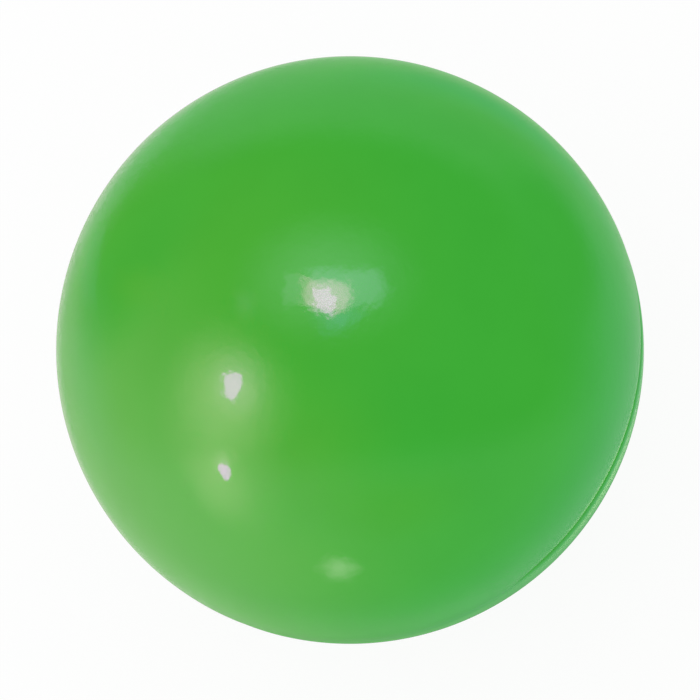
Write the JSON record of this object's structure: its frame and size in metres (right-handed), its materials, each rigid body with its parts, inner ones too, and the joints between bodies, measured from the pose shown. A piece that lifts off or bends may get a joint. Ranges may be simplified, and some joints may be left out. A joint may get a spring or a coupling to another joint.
{
  "type": "field hockey ball",
  "caption": "Hard, smooth, glossy green ball for field hockey: moulded cover halves joined at an equatorial seam round a light composition core.",
  "frame": {"origin": "centre of the ball", "axes": "+Z through the pole of the front cover half, square to the plane of the seam, which is z = 0"},
  "size_m": [0.073, 0.073, 0.073],
  "materials": {
    "cover": "glossy moulded PVC, pigmented through",
    "weld": "melted and set PVC",
    "core": "matte bonded cork granules with rubber binder"
  },
  "bodies": {
    "root": {"front_cover": "cover", "rear_cover": "cover", "seam_weld": "weld", "core": "core"}
  },
  "joints": []
}
